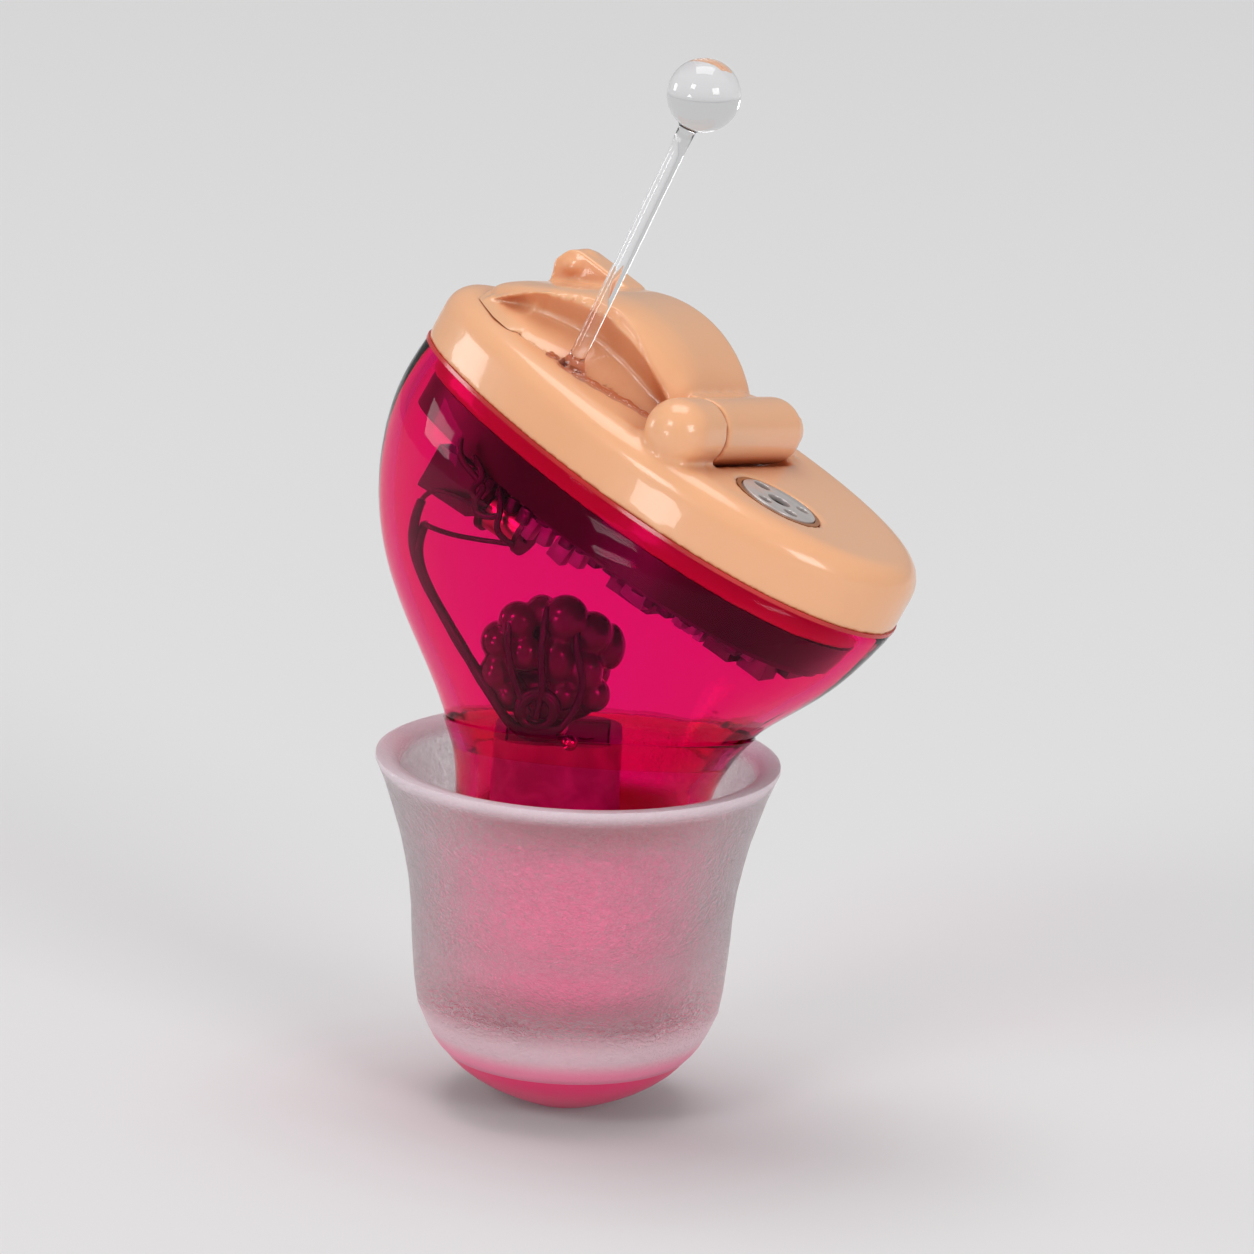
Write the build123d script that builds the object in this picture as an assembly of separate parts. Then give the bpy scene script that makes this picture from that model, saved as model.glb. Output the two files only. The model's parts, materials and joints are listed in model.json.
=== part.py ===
from build123d import *
import math
import os

os.makedirs("parts", exist_ok=True)

# An instant-fit, completely-in-the-canal hearing aid. Millimetres.
# The origin is the mouth of the sound outlet in the tip of the ear sleeve, and +Z runs up the
# ear canal's axis, out of the ear. The face that looks out of the ear is tilted, so the pieces on
# it are drawn in the face's own frame: d along its length, h across it and n out of the ear.

# Face of the aid
face_centre = (1.83, 0.05, 16.39)  # middle of the parting plane between faceplate and shell
face_tilt = 23.3  # turn about Y, degrees
face_roll = 11.1  # turn about the face's own length, degrees
face_half_length = 7.19
near_half_width = 3.93
near_taper = 0.22  # the near edge is wider at the microphone end
far_half_width = 4.9
far_squareness = 0.2  # how much the far edge fills its corner, at the end away from the microphone
outline_points = 20

# Faceplate
plate_height = 1.75
plate_edge_radius = 0.75
plate_top_wall = 0.9
skirt_depth = 0.65
skirt_wall = 0.45
bond_height = 0.1
bond_proud = 0.03

# Shell: outer stations from the face down to the neck, as height, centre x, how far its half length
# and half width have grown from the nozzle's to the face's, and tilt
shell_stations = [
    (15.2, 1.13, 0.986, 1.065, 21.2),
    (13.7, 0.43, 0.868, 0.948, 18.1),
    (12.3, 0.01, 0.660, 0.777, 14.8),
    (11.2, -0.03, 0.449, 0.584, 12.2),
    (10.27, 0.10, 0.281, 0.405, 9.4),
    (9.4, 0.19, 0.156, 0.261, 6.3),
    (8.3, 0.17, 0.059, 0.117, 3.0),
    (7.0, 0.03, 0.012, 0.014, 0.0),
]
shell_wall = 0.5
nozzle_radius = 2.96
nozzle_shoulder_z = 4.1
nozzle_end_radius = 2.3
nozzle_end_z = 2.85
nozzle_steps = 4
nozzle_floor = 0.45
lap_z = 9.9  # the lower shell's rim laps over the upper shell here
lap_tilt = (-8.0, -4.0)  # turns of the lap about X and Y, degrees
lap_depth = 0.7
lap_step = 0.07
lap_gap = 0.02

# Ear sleeve
outlet_radius = 0.7
tip_flat_radius = 0.75
sleeve_core_height = 1.35
sleeve_core_radius = 3.13
bell_profile = [(1.72, 3.44), (2.55, 3.84), (3.8, 4.0), (5.0, 4.08), (6.4, 4.3), (7.6, 4.63)]  # height, radius
sleeve_floor_z = 2.55
sleeve_grip_top_z = 4.4
sleeve_gap = 0.05
rim_z = 8.92
rim_radius = 5.13
rim_wall = 0.55
bell_wall = 0.5

# Hearing aid cell, size 10
cell_diameter = 5.8
cell_height = 3.6
cell_d = -2.27
cell_n = 0.47
cell_near_h = -0.95
cell_cap_diameter = 5.0
cell_cap_height = 0.55
cell_gasket_wall = 0.12

# Battery door
door_wall = 0.25
door_rim = 0.32
door_side_gap = 0.05
door_seat_gap = 0.04
cover_near_h = -1.62
scoop_depth = 0.42
scoop_crest = 0.84  # of the drum's radius
ramp_angle = 25.0
cover_far_round = 0.7
cover_near_round = 0.8
door_end_round = 0.35
door_end_reach = 1.5
door_inset = 0.9  # from the faceplate's edge to the door's edge
hoop_near_h = -0.5
hoop_far_h = 1.35
hoop_gap_angle = 70.0
swing_gap = 0.1

# Hinge
hinge_d = 1.17
hinge_n = 2.25
knuckle_radius = 0.85
knuckle_near_h = -2.0
knuckle_far_h = 2.6
knuckle_end_gap = 0.05
knuckle_end_round = 0.45
near_knuckle_length = 1.9
far_ear_length = 0.6
far_ear_radius = 0.5
pin_radius = 0.3
pin_gap = 0.03
pin_end_cover = 0.5
ear_foot_n = 1.0

# Nail lip on the door
lip_radius = 0.4
lip_thickness = 1.1
lip_near_h = 1.5
lip_outer_end = (-5.52, 3.12)  # d and n of the lobe's two ends
lip_inner_end = (-3.95, 3.03)

# Microphone
mic_d = 3.6
mic_h = -1.25
mic_cover_radius = 1.03
mic_cover_thickness = 0.18
mic_cover_sink = 0.02
mic_seal_wall = 0.12
mic_seat_depth = 0.5
mic_port_radius = 0.26
mic_slot_radius = 0.15
mic_slot_circle = 0.62
mic_case = (2.75, 1.85, 1.0)
mic_snout_radius = 0.7

# Electronics
frame_gap = 0.15
frame_height = 0.85
frame_wall = 0.55
frame_floor = 0.3
board_inset = 1.15
board_thickness = 0.2
contact_thickness = 0.12
contact_width = 1.3
contact_gap = 0.03

# Receiver, in the neck of the shell, in a frame turned about the nozzle's axis
receiver_turn = 30.6
receiver_x = -0.5
receiver_size = (2.6, 2.4, 5.2)
receiver_bottom_z = 4.35
receiver_top_z = receiver_bottom_z + receiver_size[2]
boot_wall = 0.3
boot_round = 0.85
boot_top_z = receiver_top_z + 0.2
terminal_gap = 0.06
lobe_radius = 0.55
lobe_pitch = 0.84
lobe_height = 3.6
lobe_drops = (0.75, 0.25, 0.0, 0.45)
lobe_y = -0.75
spout_radius = 1.2
spout_bore = 0.4
spout_gap = 0.03
guard_flange_radius = 1.4
guard_flange_height = 0.15
guard_plug_height = 0.4
guard_hole_radius = 0.07
guard_hole_circle = 0.22

# Pull handle
cord_d = -2.56
cord_h = -2.1
cord_radius = 0.22
cord_length = 6.75
cord_sink = 0.5
cord_lean = 3.0  # degrees, away from the microphone
ball_radius = 0.91
collar_radius = 0.36
collar_height = 0.35

# Wires, solder and the adhesive bead beside the door's crease
wire_radius = 0.1
lead_foot = 0.45  # how far above the boot's top the leads end
solder_radius = 0.2
bead_radius = 0.13
bead_gap = 0.45
bead_wander = (0.2, 0.14, 0.08, 0.06)


def face_frame():
    tilt, roll = math.radians(face_tilt), math.radians(face_roll)
    along = Vector(math.cos(tilt), 0, -math.sin(tilt))
    outward = Vector(math.sin(tilt) * math.cos(roll), math.sin(roll), math.cos(tilt) * math.cos(roll))
    return Plane(origin=face_centre, x_dir=along, z_dir=outward)


face = face_frame()


def seat(shape):
    """Moves a shape drawn in the face's frame to its place."""
    return face.location * shape


def outline_point(turn, inset=0.0):
    """One point of the faceplate's edge: a near half that widens and a fuller far half."""
    across = math.sin(turn)
    d = (face_half_length - inset) * math.cos(turn)
    if across < 0:
        half = near_half_width * (1 + near_taper * math.cos(turn)) - inset
        return d, half * across
    power = 1 - far_squareness * (1 - math.cos(turn)) / 2
    return d, (far_half_width - inset) * across ** power


def face_outline(inset=0.0, n=0.0):
    turns = [2 * math.pi * (i + 0.5) / outline_points for i in range(outline_points)]
    points = [(*outline_point(turn, inset), n) for turn in turns]
    return Face(Wire([Spline(*points, periodic=True)]))


def slab(inset, low, high):
    """The faceplate's outline, drawn in by inset and standing from low to high."""
    return extrude(face_outline(inset, low), high - low, dir=(0, 0, 1))


def across(sketch, low, high):
    """Extrudes a sketch drawn in d and n from low to high across the face."""
    plane = Plane(origin=(0, high, 0), x_dir=(1, 0, 0), z_dir=(0, -1, 0))
    return extrude(plane * sketch, high - low)


def disc(d, n, radius):
    return Pos(d, n) * Circle(radius)


def block(d, h, n, length, width, height):
    """A block in the face's frame, by its middle."""
    return Pos(d, h, n) * Box(length, width, height)


def post(d, h, low, high, radius):
    return Pos(d, h, (low + high) / 2) * Cylinder(radius, high - low)


# ---- Shell ----
def station_face(inset, station, share):
    """One section of the shell; share runs from 0 at the face to 1 at the neck."""
    height, centre_x, long_share, wide_share, tilt = station
    half_length = nozzle_radius + long_share * (face_half_length - nozzle_radius)
    half_width = nozzle_radius + wide_share * ((near_half_width + far_half_width) / 2 - nozzle_radius)
    plane = Plane(
        origin=(centre_x, face_centre[1] * (1 - share), height),
        x_dir=(math.cos(math.radians(tilt)), 0, -math.sin(math.radians(tilt))),
        z_dir=(math.sin(math.radians(tilt)), math.radians(face_roll) * (1 - share) ** 2, 1),
    )
    points = []
    for i in range(outline_points):
        turn = 2 * math.pi * (i + 0.5) / outline_points
        taper = near_taper * (1 - share) * math.cos(turn) if math.sin(turn) < 0 else 0
        width = half_width * (1 + taper) - inset
        at = (half_length - inset) * math.cos(turn), width * math.sin(turn)
        points.append(plane.from_local_coords((*at, 0)))
    return Face(Wire([Spline(*points, periodic=True)]))


def round_section(radius, z):
    points = []
    for i in range(outline_points):
        turn = 2 * math.pi * (i + 0.5) / outline_points
        points.append((radius * math.cos(turn), radius * math.sin(turn), z))
    return Face(Wire([Spline(*points, periodic=True)]))


def nozzle_radius_at(z):
    """The nozzle is straight down to its shoulder and then rounds in to its end."""
    fall = max(nozzle_shoulder_z - z, 0) / (nozzle_shoulder_z - nozzle_end_z)
    return nozzle_radius - (nozzle_radius - nozzle_end_radius) * fall ** 2


def shell_form(inset, bottom_z):
    """The closed form of the whole shell, drawn in by inset all round."""
    sections = [seat(face_outline(inset))]
    count = len(shell_stations)
    for i, station in enumerate(shell_stations):
        sections.append(station_face(inset, station, (i + 1) / count))
    for i in range(nozzle_steps):
        z = nozzle_shoulder_z + (bottom_z - nozzle_shoulder_z) * i / (nozzle_steps - 1)
        sections.append(round_section(nozzle_radius_at(z) - inset, z))
    return loft(sections)


def along_lap(low, high):
    """The space between two planes beside the tilted lap, at heights measured from it."""
    size = 4 * face_half_length
    return Pos(0, 0, lap_z) * Rot(*lap_tilt, 0) * Pos(0, 0, (low + high) / 2) * Box(size, size, high - low)


def make_shells():
    reach = 2 * face_half_length
    outer = shell_form(0, nozzle_end_z)
    proud = shell_form(-lap_step, nozzle_end_z)
    middle = shell_form(shell_wall / 2, nozzle_end_z)
    spigot = shell_form(shell_wall / 2 + lap_gap, nozzle_end_z)
    inner = shell_form(shell_wall, nozzle_end_z + nozzle_floor)
    upper = (outer & along_lap(0, reach)) + (spigot & along_lap(-lap_depth, 0))
    lower = (proud & along_lap(-reach, 0)) - (middle & along_lap(-lap_depth, 0))
    outlet = Cylinder(spout_radius, 4 * nozzle_end_z)
    return upper - inner, lower - inner - outlet


# ---- Ear sleeve: a soft bell round a stiff core ----
def make_sleeve():
    outer = [(sleeve_core_radius, sleeve_core_height)]
    outer += [(radius, z) for z, radius in bell_profile]
    outer.append((rim_radius, rim_z))
    inner = [(rim_radius - rim_wall, rim_z)]
    inner += [(radius - bell_wall, z) for z, radius in bell_profile[:-4:-1]]
    fall = sleeve_core_radius - tip_flat_radius
    tip_curve = [(tip_flat_radius, 0), (tip_flat_radius + 0.27 * fall, 0.15 * sleeve_core_height),
                 (tip_flat_radius + 0.57 * fall, 0.38 * sleeve_core_height),
                 (sleeve_core_radius, sleeve_core_height)]
    grip_gap = lap_step + sleeve_gap
    grip = nozzle_radius + grip_gap
    foot = nozzle_end_radius + grip_gap
    socket = []
    for i in range(nozzle_steps):
        z = nozzle_shoulder_z + (nozzle_end_z - nozzle_shoulder_z) * i / (nozzle_steps - 1)
        socket.append((nozzle_radius_at(z) + grip_gap, z))
    with BuildPart() as bell:
        with BuildSketch(Plane.XZ):
            with BuildLine():
                Spline(*outer)
                Line(outer[-1], inner[0])
                Spline(*inner)
                Line(inner[-1], (grip + 0.12, sleeve_grip_top_z))
                Line((grip + 0.12, sleeve_grip_top_z), (grip, nozzle_shoulder_z))
                Spline(*socket)
                Line((foot, nozzle_end_z), (foot, sleeve_floor_z))
                Line((foot, sleeve_floor_z), (outlet_radius, sleeve_floor_z))
                Line((outlet_radius, sleeve_floor_z), (outlet_radius, sleeve_core_height))
                Line((outlet_radius, sleeve_core_height), outer[0])
            make_face()
        revolve(axis=Axis.Z)
    with BuildPart() as core:
        with BuildSketch(Plane.XZ):
            with BuildLine():
                Line((outlet_radius, 0), (tip_flat_radius, 0))
                Spline(*tip_curve, tangents=[(1, 0.1), (1, 1.2)])
                Line((sleeve_core_radius, sleeve_core_height), (outlet_radius, sleeve_core_height))
                Line((outlet_radius, sleeve_core_height), (outlet_radius, 0))
            make_face()
        revolve(axis=Axis.Z)
    return bell.part, core.part


# ---- Battery bay: the room the door's drum needs to turn out of the face ----
hinge_to_cell = math.hypot(cell_d - hinge_d, cell_n - hinge_n)
hinge_to_cell_angle = math.degrees(math.atan2(cell_n - hinge_n, cell_d - hinge_d))


def swing_profile(radius):
    """Where a disc on the cell's axis is, and where it passes as the door opens."""
    reach = 4 * face_half_length
    upper_side = Rot(0, 0, hinge_to_cell_angle) * (Pos(reach / 2, -reach / 2) * Rectangle(reach, reach))
    passing = disc(hinge_d, hinge_n, hinge_to_cell + radius + swing_gap) & (Pos(hinge_d, hinge_n) * upper_side)
    return passing + disc(cell_d, cell_n, radius + swing_gap)


cell_radius = cell_diameter / 2
cell_far_h = cell_near_h + cell_height
cover_far_h = cell_far_h + door_side_gap + door_wall
drum_radius = cell_radius + door_side_gap + door_rim
wall_radius = cell_radius - 0.2


def bay_cut():
    reach = 0.05 + door_wall + door_side_gap
    near_h, far_h = cell_near_h - reach, cell_far_h + reach
    return (
        across(swing_profile(wall_radius), near_h, far_h)
        + across(swing_profile(cell_radius), cell_near_h - door_side_gap, cell_far_h + door_side_gap)
        + across(swing_profile(drum_radius), hoop_near_h - swing_gap, hoop_far_h + swing_gap)
    )


# ---- Faceplate ----
skirt_inset = shell_wall + frame_gap / 3
near_knuckle_high = knuckle_near_h - knuckle_end_gap
near_knuckle_low = near_knuckle_high - near_knuckle_length
far_ear_low = knuckle_far_h + knuckle_end_gap
far_ear_high = far_ear_low + far_ear_length
pin_low = near_knuckle_low + pin_end_cover
pin_high = far_ear_high - pin_end_cover / 3


def lean_on_cord(shape):
    """Stands a shape on the pull cord's line, with the faceplate's surface at its own zero."""
    return Pos(cord_d, cord_h, plate_height) * Rot(0, -cord_lean, 0) * shape


def make_faceplate(lining):
    """The plate, with a skirt that stands inside the shell's lining and the fixed hinge ends."""
    body = slab(0, bond_height, plate_height)
    body = fillet(body.faces().sort_by(Axis.Z)[-1].edges(), plate_edge_radius)
    body -= slab(skirt_inset + skirt_wall, 0, plate_height - plate_top_wall)
    near = across(disc(hinge_d, hinge_n, knuckle_radius), near_knuckle_low, near_knuckle_high)
    near = fillet(near.faces().sort_by(Axis.Y)[0].edges(), knuckle_radius * 0.94)
    ear_foot = Pos(hinge_d, (hinge_n + ear_foot_n) / 2) * Rectangle(2 * far_ear_radius, hinge_n - ear_foot_n)
    ear = across(disc(hinge_d, hinge_n, far_ear_radius) + ear_foot, far_ear_low, far_ear_high)
    trough = across(disc(hinge_d, hinge_n, knuckle_radius + swing_gap), near_knuckle_high, far_ear_low)
    body = body - trough + near + ear
    body -= across(disc(hinge_d, hinge_n, pin_radius), pin_low, pin_high)
    seal = mic_cover_radius + mic_seal_wall
    body -= post(mic_d, mic_h, plate_height - mic_seat_depth, 2 * plate_height, seal)
    body -= post(mic_d, mic_h, 0, plate_height, mic_snout_radius)
    body -= lean_on_cord(Cylinder(cord_radius, 2 * cord_sink))
    skirt = slab(skirt_inset, -skirt_depth, plate_height / 2)
    skirt -= slab(skirt_inset + skirt_wall, -skirt_depth, plate_height / 2)
    room = lining + seat(slab(skirt_inset, 0, plate_height))
    return (seat(body) + (seat(skirt) & room)) - seat(bay_cut())


def make_bond_line():
    return slab(-bond_proud, 0, bond_height) - slab(shell_wall * 0.8, 0, bond_height)


# ---- Battery door: hooded cover, drum walls, hoop, hinge knuckle and nail lip ----
def make_door():
    radius = drum_radius
    slope = math.radians(ramp_angle)
    tangent = (cell_d - radius * math.sin(slope), cell_n + radius * math.cos(slope))
    left = -(face_half_length - door_inset)
    base = plate_height + door_seat_gap
    low_left = max(tangent[1] - (tangent[0] - left) * math.tan(slope), base + 0.08)
    ramp = Polygon((left, base), (cell_d, base), tangent, (left, low_left), align=None)
    above = Pos(0, base + radius) * Rectangle(8 * radius, 2 * radius)
    hump = (disc(cell_d, cell_n, radius) & above) + ramp
    cover = across(hump, cover_near_h, cover_far_h)
    arches = [edge for edge in cover.edges().filter_by(GeomType.CIRCLE) if edge.length > radius / 2]
    arches = ShapeList(arches).sort_by(Axis.Y)
    cover = fillet(arches[-1:], cover_far_round)
    cover = fillet(ShapeList(cover.edges().filter_by(GeomType.CIRCLE)).sort_by(Axis.Y)[:1], cover_near_round)
    cover = cover & slab(door_inset, base, base + 2 * radius)
    outer_end = [edge for edge in cover.edges() if edge.center().X < left + door_end_reach]
    cover = fillet([edge for edge in outer_end if edge.center().Z > base + 0.1], door_end_round)
    cover -= make_scoop(radius)
    walls = across(disc(cell_d, cell_n, wall_radius), cell_near_h - door_side_gap - door_wall, cover_far_h)
    cover += walls & block(cell_d, 0, base / 2, 4 * radius, 8 * radius, base + 0.2)
    hoop = across(disc(cell_d, cell_n, radius), hoop_near_h, hoop_far_h)
    gap = 2 * radius * math.tan(math.radians(hoop_gap_angle / 2))
    hoop -= block(cell_d, 0, cell_n - radius - 0.4, gap, 8 * radius, 2 * radius)
    knuckle = across(disc(hinge_d, hinge_n, knuckle_radius), knuckle_near_h, knuckle_far_h)
    knuckle = fillet(knuckle.faces().sort_by(Axis.Y)[-1].edges(), knuckle_end_round)
    web = across(Polygon((cell_d + radius * 0.8, base), (hinge_d, base + 0.1), (hinge_d, hinge_n + 0.7),
                         (cell_d + radius * 0.75, hinge_n + 0.5), align=None),
                 cover_near_h + 0.3, knuckle_far_h - knuckle_end_round)
    door = cover + hoop + make_lip() + knuckle + web
    door -= across(disc(cell_d, cell_n, cell_radius + door_side_gap),
                   cell_near_h - door_side_gap, cell_far_h + door_side_gap)
    return door - across(disc(hinge_d, hinge_n, pin_radius + pin_gap), knuckle_near_h, knuckle_far_h)


def make_scoop(radius):
    """A dished hollow in the hump's near face, turned about the hump's own axis."""
    near = cover_near_h
    crest = scoop_crest * radius
    with BuildPart() as scoop:
        with BuildSketch(Plane.XY):
            with BuildLine():
                Spline((0, near + scoop_depth * 0.3), (crest * 0.5, near + scoop_depth * 0.7),
                       (crest * 0.82, near + scoop_depth), (crest, near + 0.05))
                Polyline((crest, near + 0.05), (crest, near - 2), (0, near - 2), (0, near + scoop_depth * 0.3))
            make_face()
        revolve(axis=Axis.Y)
    return Pos(cell_d, 0, cell_n) * scoop.part


def make_lip():
    """The lobe at the far corner that a fingernail lifts."""
    base = plate_height + door_seat_gap
    (outer_d, outer_n), (inner_d, inner_n) = lip_outer_end, lip_inner_end
    body = disc(outer_d, outer_n, lip_radius) + disc(inner_d, inner_n, lip_radius)
    body += Polygon((outer_d - lip_radius, outer_n), (outer_d - 0.1, base), (outer_d + 0.5, base),
                    (inner_d, inner_n - lip_radius), (inner_d, inner_n + lip_radius),
                    (outer_d, outer_n + lip_radius), align=None)
    return across(body, lip_near_h, lip_near_h + lip_thickness)


# ---- Cell ----
def make_cell():
    can = across(disc(cell_d, cell_n, cell_radius), cell_near_h + cell_cap_height, cell_far_h)
    cap_radius = cell_cap_diameter / 2
    recess = across(disc(cell_d, cell_n, cap_radius + cell_gasket_wall), cell_near_h, cell_near_h + 1.2)
    can += across(disc(cell_d, cell_n, cell_radius) - disc(cell_d, cell_n, cap_radius + cell_gasket_wall),
                  cell_near_h + 0.2, cell_near_h + cell_cap_height)
    can -= recess
    cap = across(disc(cell_d, cell_n, cap_radius), cell_near_h, cell_near_h + 1.1)
    gasket = recess & across(disc(cell_d, cell_n, cell_radius), cell_near_h + 0.1, cell_near_h + 1.2)
    return can, cap, gasket - cap


def make_contact(at_h, side):
    """A sprung strip beside the cell, with a raised touch point towards it."""
    middle = at_h + side * (contact_gap + 0.07 + contact_thickness / 2)
    strip = block(cell_d, middle, cell_n - 1.7, contact_width, contact_thickness, 1.5)
    turn = Rot(0, 0, 180) if side < 0 else Rot(0, 0, 0)
    point = Pos(cell_d, middle - side * (contact_thickness / 2 + 0.035), cell_n - 1.6) * turn \
        * Rot(90, 0, 0) * Cone(0.22, 0.12, 0.07)
    foot = block(cell_d, middle + side * 0.2, cell_n - 1.25, contact_width * 0.6, 0.5, contact_thickness)
    return strip + point + foot


def make_hinge_pin():
    return across(disc(hinge_d, hinge_n, pin_radius), pin_low, pin_high)


# ---- Microphone ----
def make_microphone():
    top = plate_height - plate_top_wall
    length, width, height = mic_case
    case = block(mic_d, mic_h, top - height / 2, length, width, height)
    case = fillet(case.edges().filter_by(Axis.Z), 0.2)
    snout = post(mic_d, mic_h, top, plate_height - mic_seat_depth, mic_snout_radius)
    return case + snout - post(mic_d, mic_h, top, plate_height, mic_port_radius)


def make_mic_seal():
    low = plate_height - mic_seat_depth
    high = plate_height - mic_cover_sink
    ring = post(mic_d, mic_h, low, high, mic_cover_radius + mic_seal_wall)
    cover = post(mic_d, mic_h, high - mic_cover_thickness, high, mic_cover_radius)
    return ring - cover - post(mic_d, mic_h, low, high, mic_snout_radius)


def make_mic_cover():
    high = plate_height - mic_cover_sink
    cover = post(mic_d, mic_h, high - mic_cover_thickness, high, mic_cover_radius)
    cover -= post(mic_d, mic_h, 0, high, mic_port_radius)
    for i in range(4):
        turn = math.radians(20 + 90 * i)
        at = mic_d + mic_slot_circle * math.cos(turn), mic_h + mic_slot_circle * math.sin(turn)
        cover -= post(*at, 0, high, mic_slot_radius)
    return cover


# ---- Electronics under the faceplate ----
frame_inset = shell_wall + frame_gap
frame_top = -skirt_depth
frame_bottom = frame_top - frame_height
board_bottom = frame_bottom - board_thickness


def make_frame(lining):
    body = slab(frame_inset, frame_bottom, frame_top)
    body -= slab(frame_inset + frame_wall, frame_bottom + frame_floor, frame_top)
    return seat(body - bay_cut()) & lining


def make_board():
    return slab(board_inset, board_bottom, frame_bottom) - bay_cut()


def hang(d, h, length, width, drop, start=None):
    """A component under the board, by its middle and its drop below the board."""
    top = board_bottom if start is None else start
    return block(d, h, top - drop / 2, length, width, drop)


board_end = face_half_length - board_inset  # from the middle to the board's microphone end


def make_components():
    chip = hang(board_end - 2.64, 0.8, 2.6, 2.2, 0.75)
    amplifier = hang(board_end - 4.4, -1.45, 1.3, 1.0, 0.6)
    capacitors = []
    for i in range(4):
        capacitors.append(hang(board_end - 3.45 + 0.36 * i, -1.4 - 0.06 * i, 0.22, 0.5, 0.45))
    window_d, window_h, window_size, window_drop = board_end - 1.75, -1.5, 0.75, 0.45
    window = hang(window_d, window_h, window_size, window_size, window_drop)
    window -= hang(window_d, window_h, 0.6 * window_size, 0.6 * window_size, window_drop)
    steps = hang(board_end - 0.98, -0.9, 0.7, 0.9, 0.5) + hang(board_end - 0.75, 0.3, 0.6, 1.0, 0.4)
    return chip, amplifier, Compound(capacitors), window, steps


coil_d = -2.05
coil_h = -1.95
coil_cheek_radius = 0.6
coil_n = board_bottom - coil_cheek_radius - 0.02


def make_coil():
    core = Cylinder(0.25, 1.5)
    winding = Cylinder(0.5, 0.95)
    cheeks = Pos(0, 0, 0.58) * Cylinder(coil_cheek_radius, 0.14)
    cheeks += Pos(0, 0, -0.58) * Cylinder(coil_cheek_radius, 0.14)
    at = Pos(coil_d, coil_h, coil_n) * Rot(0, 90, 0)
    return at * (core + cheeks), at * (winding - core)


socket_d = -3.85
socket_h = -1.72
socket_size = (1.5, 0.62, 1.15)
socket_n = board_bottom - 0.3


def make_programming_socket():
    body = hang(socket_d, socket_h, *socket_size)
    for i in range(3):
        at = socket_d + 0.5 * (i - 1)
        body -= post(at, socket_h, board_bottom - socket_size[2], board_bottom - 0.65, 0.14)
    return body


# ---- Receiver and what holds it ----
def upright(x, y, low, high, size_x, size_y):
    return Pos(x, y, (low + high) / 2) * Box(size_x, size_y, high - low)


def make_receiver():
    length, width, height = receiver_size
    case = upright(receiver_x, 0, receiver_bottom_z, receiver_top_z, length, width)
    return fillet(case.edges(), 0.25)


def make_sound_tube():
    low, high = nozzle_end_z, receiver_bottom_z
    tube = Cylinder(spout_radius - spout_gap, high - low) - Cylinder(spout_bore, high - low)
    return Pos(0, 0, (low + high) / 2) * tube


def make_wax_guard():
    """A flanged cup with a pierced floor, pushed into the mouth of the sound tube."""
    low = nozzle_end_z - guard_flange_height
    guard = Pos(0, 0, low + guard_flange_height / 2) * Cylinder(guard_flange_radius, guard_flange_height)
    guard += Pos(0, 0, nozzle_end_z + guard_plug_height / 2) * Cylinder(spout_bore, guard_plug_height)
    middle = low + (guard_flange_height + guard_plug_height) / 2
    for i in range(7):
        turn = math.radians(60 * i)
        out = guard_hole_circle if i else 0
        guard -= Pos(out * math.cos(turn), out * math.sin(turn), middle) * Cylinder(guard_hole_radius, 2)
    return guard


def make_boot():
    length, width, _ = receiver_size
    low = receiver_bottom_z
    body = upright(receiver_x, 0, low, boot_top_z, length + 2 * boot_wall, width + 2 * boot_wall)
    body = fillet(body.edges().filter_by(Axis.Z), boot_round)
    return body - upright(receiver_x, 0, low, boot_top_z, length, width)


def make_terminals():
    """The receiver's terminal plate with its three solder pads."""
    length, width, _ = receiver_size
    low = receiver_top_z
    high = boot_top_z - terminal_gap
    plate = upright(receiver_x, 0, low, high, length - 0.1, width - 0.1)
    for i in range(3):
        plate += Pos(receiver_x + 0.7 * (i - 1), -0.3, high) * Cylinder(0.2, terminal_gap)
    return plate


def make_lobes():
    """Four soft lobes over the receiver's terminals, like closed fingers on a palm."""
    low = boot_top_z
    middle = (len(lobe_drops) - 1) / 2
    body = upright(receiver_x + 0.1, 0.25, low, low + 0.8 * lobe_height, 3.4, 1.9)
    body = fillet(body.edges().filter_by(Axis.Z) + body.faces().sort_by(Axis.Z)[-1].edges(), 0.5)
    for i, drop in enumerate(lobe_drops):
        top = low + lobe_height - drop
        lobe = Pos(receiver_x + (i - middle) * lobe_pitch, lobe_y, (low + top) / 2) \
            * Cylinder(lobe_radius, top - low)
        body += fillet(lobe.faces().sort_by(Axis.Z)[-1].edges(), lobe_radius * 0.92)
    return body


# ---- Wires, solder and the adhesive bead ----
def beside_receiver(d, h, n):
    """A point of the face's frame in the receiver's turned one."""
    point = Rot(0, 0, -receiver_turn) * Pos(*face.from_local_coords((d, h, n)))
    return point.position.X, point.position.Y, point.position.Z


def make_wire(points, radius):
    line = Edge.make_spline([Vector(*point) for point in points])
    plane = Plane(origin=line.position_at(0), z_dir=line.tangent_at(0))
    return sweep(plane * Circle(radius), path=line)


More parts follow.
